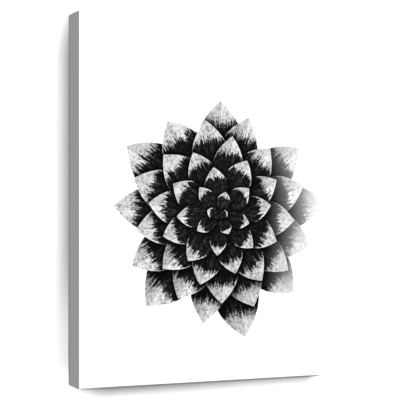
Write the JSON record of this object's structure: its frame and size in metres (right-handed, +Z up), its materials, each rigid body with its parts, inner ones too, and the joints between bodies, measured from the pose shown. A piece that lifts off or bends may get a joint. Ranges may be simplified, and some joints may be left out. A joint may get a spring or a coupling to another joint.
{
  "type": "stretched canvas wall print",
  "caption": "Printed canvas stretched over a deep mitred wooden frame and stapled at the back, with a toothed hanger that hooks over a nail in the wall.",
  "frame": {"origin": "where the hanger's middle notch bears on the wall's nail, in the plane of the wall", "axes": "+X to the right seen from the front, +Y into the wall, +Z up; the picture faces -Y"},
  "size_m": [0.3048, 0.0413, 0.4076],
  "materials": {
    "canvas": "matte primed cotton canvas with a printed picture",
    "stretcher_wood": "planed bare pine",
    "fastener_steel": "bright zinc-coated steel",
    "hanger_brass": "thin brass plating on steel",
    "bumper_rubber": "matte black rubber"
  },
  "bodies": {
    "root": {"canvas": "canvas", "bar_top": "stretcher_wood", "bar_right": "stretcher_wood", "bar_bottom": "stretcher_wood", "bar_left": "stretcher_wood", "staple_top_1": "fastener_steel", "staple_top_2": "fastener_steel", "staple_top_3": "fastener_steel", "staple_top_4": "fastener_steel", "staple_top_5": "fastener_steel", "staple_top_6": "fastener_steel", "staple_bottom_1": "fastener_steel", "staple_bottom_2": "fastener_steel", "staple_bottom_3": "fastener_steel", "staple_bottom_4": "fastener_steel", "staple_bottom_5": "fastener_steel", "staple_bottom_6": "fastener_steel", "staple_left_1": "fastener_steel", "staple_left_2": "fastener_steel", "staple_left_3": "fastener_steel", "staple_left_4": "fastener_steel", "staple_left_5": "fastener_steel", "staple_left_6": "fastener_steel", "staple_left_7": "fastener_steel", "staple_right_1": "fastener_steel", "staple_right_2": "fastener_steel", "staple_right_3": "fastener_steel", "staple_right_4": "fastener_steel", "staple_right_5": "fastener_steel", "staple_right_6": "fastener_steel", "staple_right_7": "fastener_steel", "staple_top_left": "fastener_steel", "staple_top_right": "fastener_steel", "staple_bottom_left": "fastener_steel", "staple_bottom_right": "fastener_steel", "vnail_top_left_outer": "fastener_steel", "vnail_top_left_inner": "fastener_steel", "vnail_top_right_outer": "fastener_steel", "vnail_top_right_inner": "fastener_steel", "vnail_bottom_left_outer": "fastener_steel", "vnail_bottom_left_inner": "fastener_steel", "vnail_bottom_right_outer": "fastener_steel", "vnail_bottom_right_inner": "fastener_steel", "hanger": "hanger_brass", "hanger_nail_left": "fastener_steel", "hanger_nail_right": "fastener_steel", "bumper_left": "bumper_rubber", "bumper_right": "bumper_rubber"}
  },
  "joints": []
}
